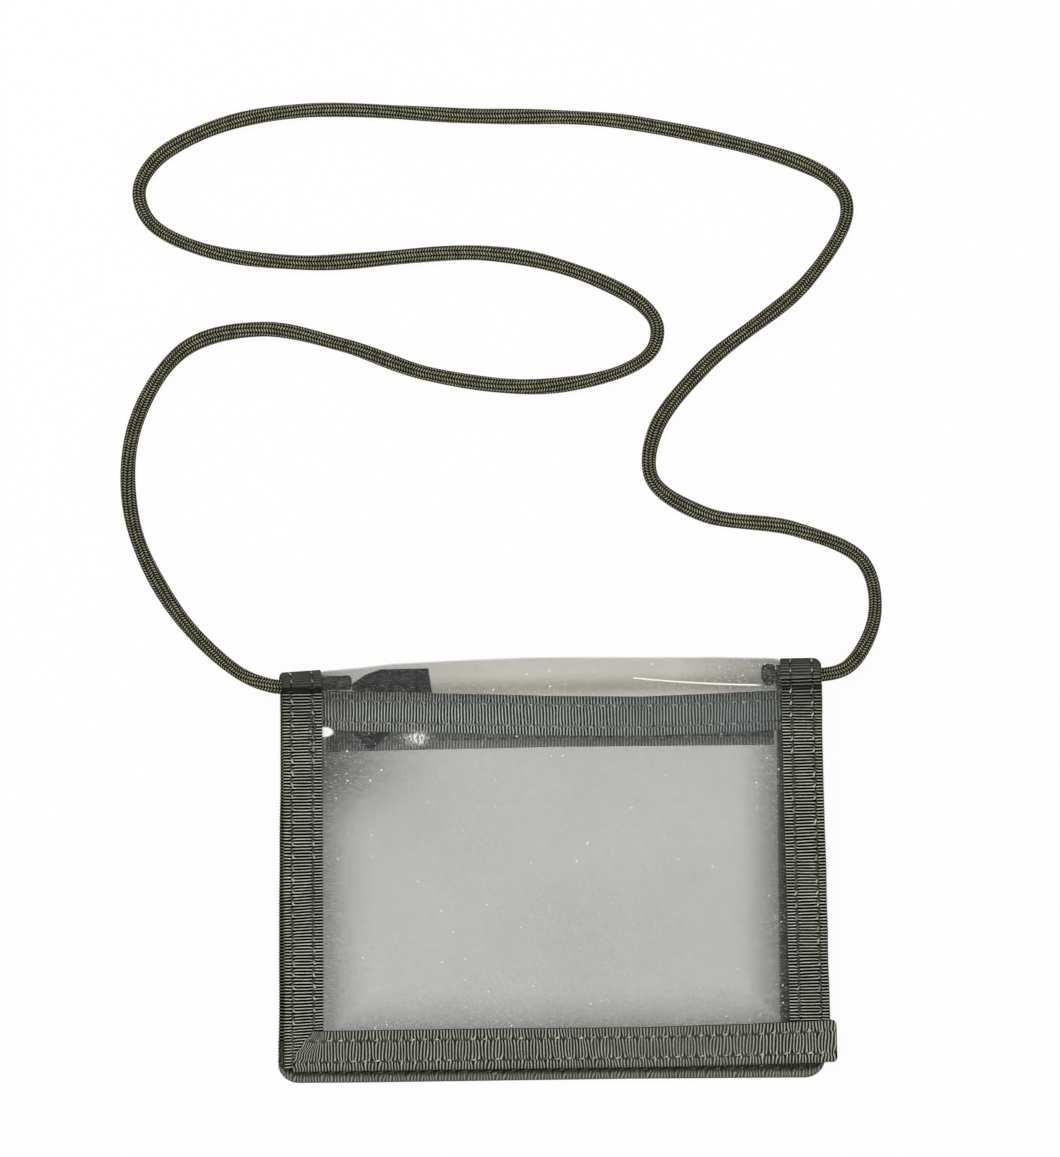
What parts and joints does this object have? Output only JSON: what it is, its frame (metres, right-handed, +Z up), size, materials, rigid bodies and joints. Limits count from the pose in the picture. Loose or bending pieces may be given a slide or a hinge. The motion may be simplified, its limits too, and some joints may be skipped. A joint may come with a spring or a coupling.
{
  "type": "id badge wallet",
  "caption": "Clear folding badge wallet with ribbed tape binding, a pocket in each panel and a neck cord knotted inside the fold.",
  "frame": {"origin": "middle of the closed wallet's footprint, on the surface that it lies on; the neck cord isn't counted", "axes": "+X along the fold, +Y across the panels towards the fold, +Z up from the surface through the front panel"},
  "size_m": [0.1591, 0.2069, 0.0072],
  "materials": {
    "clear_vinyl": "hazy clear vinyl, lightly scratched",
    "edge_tape": "ribbed nylon binding tape, olive grey",
    "mouth_tape": "ribbed nylon binding tape seen through clear vinyl",
    "thread": "bonded nylon sewing thread",
    "label": "smooth dark label, bare",
    "cord": "flat braided nylon cord"
  },
  "bodies": {
    "back_panel": {"back_window": "clear_vinyl", "back_pocket_sheet": "clear_vinyl", "back_mouth_tape": "mouth_tape", "back_left_tape": "edge_tape", "back_right_tape": "edge_tape", "back_bottom_tape": "edge_tape", "back_left_seam": "thread", "back_right_seam": "thread", "back_bottom_seam": "thread", "back_mouth_seam": "thread", "fold_window": "clear_vinyl", "left_fold_tape": "edge_tape", "right_fold_tape": "edge_tape", "left_fold_seam": "thread", "right_fold_seam": "thread", "inner_label": "label", "left_knot": "cord", "right_knot": "cord", "neck_cord": "cord"},
    "front_panel": {"front_window": "clear_vinyl", "front_pocket_sheet": "clear_vinyl", "front_mouth_tape": "mouth_tape", "front_left_tape": "edge_tape", "front_right_tape": "edge_tape", "front_bottom_tape": "edge_tape", "front_left_seam": "thread", "front_right_seam": "thread", "front_bottom_seam": "thread", "front_mouth_seam": "thread"}
  },
  "joints": [
    {"name": "fold_hinge", "type": "hinge", "parent": "back_panel", "child": "front_panel", "pos_m": [0, 0.0397, 0.0036], "axis": [-1, 0, 0], "range_deg": [0, 170], "deforming": ["fold_window", "left_fold_tape", "right_fold_tape", "left_fold_seam", "right_fold_seam"]}
  ]
}
